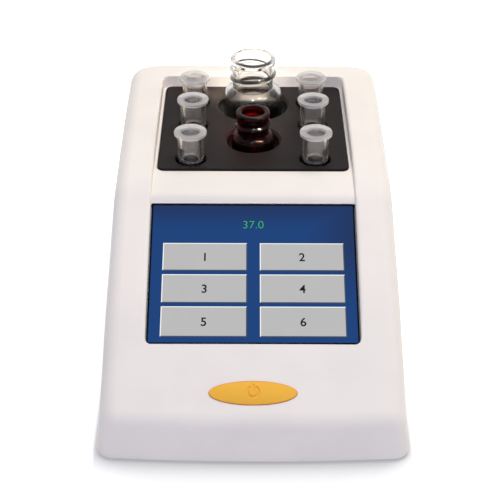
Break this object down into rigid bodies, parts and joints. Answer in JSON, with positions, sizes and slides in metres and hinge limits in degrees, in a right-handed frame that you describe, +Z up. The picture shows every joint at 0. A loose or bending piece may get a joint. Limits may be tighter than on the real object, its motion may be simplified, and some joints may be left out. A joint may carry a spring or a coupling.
{
  "type": "coagulation analyzer",
  "caption": "Benchtop blood coagulation analyzer with a sloping touch display, a heated block of wells under a dark plate, lift-out cuvettes and reagent vessels, and an oval power button.",
  "frame": {"origin": "middle of the bounding box on the surface that the feet rest on", "axes": "+Z up, +X to the right seen from the display side, +Y to the back"},
  "size_m": [0.1056, 0.179, 0.0814],
  "materials": {
    "case_cream": "satin moulded plastic",
    "pan_cream": "fine textured moulded plastic",
    "foot_rubber": "matte rubber",
    "screw_steel": "zinc plated",
    "plate_charcoal": "matte dark coating",
    "block_aluminium": "black anodised",
    "foil_orange": "polyimide film",
    "pad_grey": "closed cell foam",
    "carrier_white": "moulded",
    "probe_steel": "polished",
    "emitter_black": "moulded",
    "photodiode_black": "moulded",
    "glass_blue": "touch glass over a lit display",
    "module_steel": "folded sheet",
    "display_board_green": "solder mask",
    "ribbon_white": "film",
    "button_amber": "smooth moulded",
    "button_board_green": "solder mask",
    "switch_black": "moulded",
    "main_board_green": "solder mask",
    "chip_black": "moulded",
    "buzzer_black": "moulded",
    "inlet_black": "moulded",
    "socket_grey": "folded sheet",
    "cuvette_frosted": "translucent moulded",
    "bottle_glass": "clear glass",
    "vial_amber": "amber glass"
  },
  "bodies": {
    "case": {"upper_shell": "case_cream", "base_pan": "pan_cream", "foot_1": "foot_rubber", "foot_2": "foot_rubber", "foot_3": "foot_rubber", "foot_4": "foot_rubber", "case_screw_1": "screw_steel", "case_screw_2": "screw_steel", "case_screw_3": "screw_steel", "case_screw_4": "screw_steel", "carrier_screw_1": "screw_steel", "carrier_screw_2": "screw_steel", "carrier_screw_3": "screw_steel", "carrier_screw_4": "screw_steel", "display_screw_1": "screw_steel", "display_screw_2": "screw_steel", "display_screw_3": "screw_steel", "display_screw_4": "screw_steel", "board_screw_1": "screw_steel", "board_screw_2": "screw_steel", "board_screw_3": "screw_steel", "board_screw_4": "screw_steel", "button_screw_1": "screw_steel", "button_screw_2": "screw_steel", "well_plate": "plate_charcoal", "heating_block": "block_aluminium", "heater_foil": "foil_orange", "insulation_pad": "pad_grey", "block_carrier": "carrier_white", "temperature_probe": "probe_steel", "emitter_left": "emitter_black", "emitter_right": "emitter_black", "photodiode_left": "photodiode_black", "photodiode_right": "photodiode_black", "touch_glass": "glass_blue", "lcd_module": "module_steel", "display_board": "display_board_green", "display_ribbon": "ribbon_white", "button_board": "button_board_green", "button_switch": "switch_black", "main_board": "main_board_green", "processor": "chip_black", "buzzer": "buzzer_black", "dc_inlet": "inlet_black", "data_socket": "socket_grey"},
    "cuvette_1": {"cuvette_1": "cuvette_frosted"},
    "cuvette_2": {"cuvette_2": "cuvette_frosted"},
    "cuvette_3": {"cuvette_3": "cuvette_frosted"},
    "cuvette_4": {"cuvette_4": "cuvette_frosted"},
    "cuvette_5": {"cuvette_5": "cuvette_frosted"},
    "cuvette_6": {"cuvette_6": "cuvette_frosted"},
    "clear_bottle": {"clear_reagent_bottle": "bottle_glass"},
    "amber_vial": {"amber_reagent_vial": "vial_amber"},
    "button": {"power_button": "button_amber"}
  },
  "joints": [
    {"name": "cuvette_1_lift", "type": "slide", "parent": "case", "child": "cuvette_1", "axis": [0, 0, 1], "range_m": [0, 0.025]},
    {"name": "cuvette_2_lift", "type": "slide", "parent": "case", "child": "cuvette_2", "axis": [0, 0, 1], "range_m": [0, 0.025]},
    {"name": "cuvette_3_lift", "type": "slide", "parent": "case", "child": "cuvette_3", "axis": [0, 0, 1], "range_m": [0, 0.025]},
    {"name": "cuvette_4_lift", "type": "slide", "parent": "case", "child": "cuvette_4", "axis": [0, 0, 1], "range_m": [0, 0.025]},
    {"name": "cuvette_5_lift", "type": "slide", "parent": "case", "child": "cuvette_5", "axis": [0, 0, 1], "range_m": [0, 0.025]},
    {"name": "cuvette_6_lift", "type": "slide", "parent": "case", "child": "cuvette_6", "axis": [0, 0, 1], "range_m": [0, 0.025]},
    {"name": "clear_bottle_lift", "type": "slide", "parent": "case", "child": "clear_bottle", "axis": [0, 0, 1], "range_m": [0, 0.03]},
    {"name": "amber_vial_lift", "type": "slide", "parent": "case", "child": "amber_vial", "axis": [0, 0, 1], "range_m": [0, 0.025]},
    {"name": "power_button_press", "type": "slide", "parent": "case", "child": "button", "axis": [0, 0.5446, -0.8387], "range_m": [0, 0.001], "stiffness_N_per_m": 600, "springref_m": -0.0005}
  ]
}
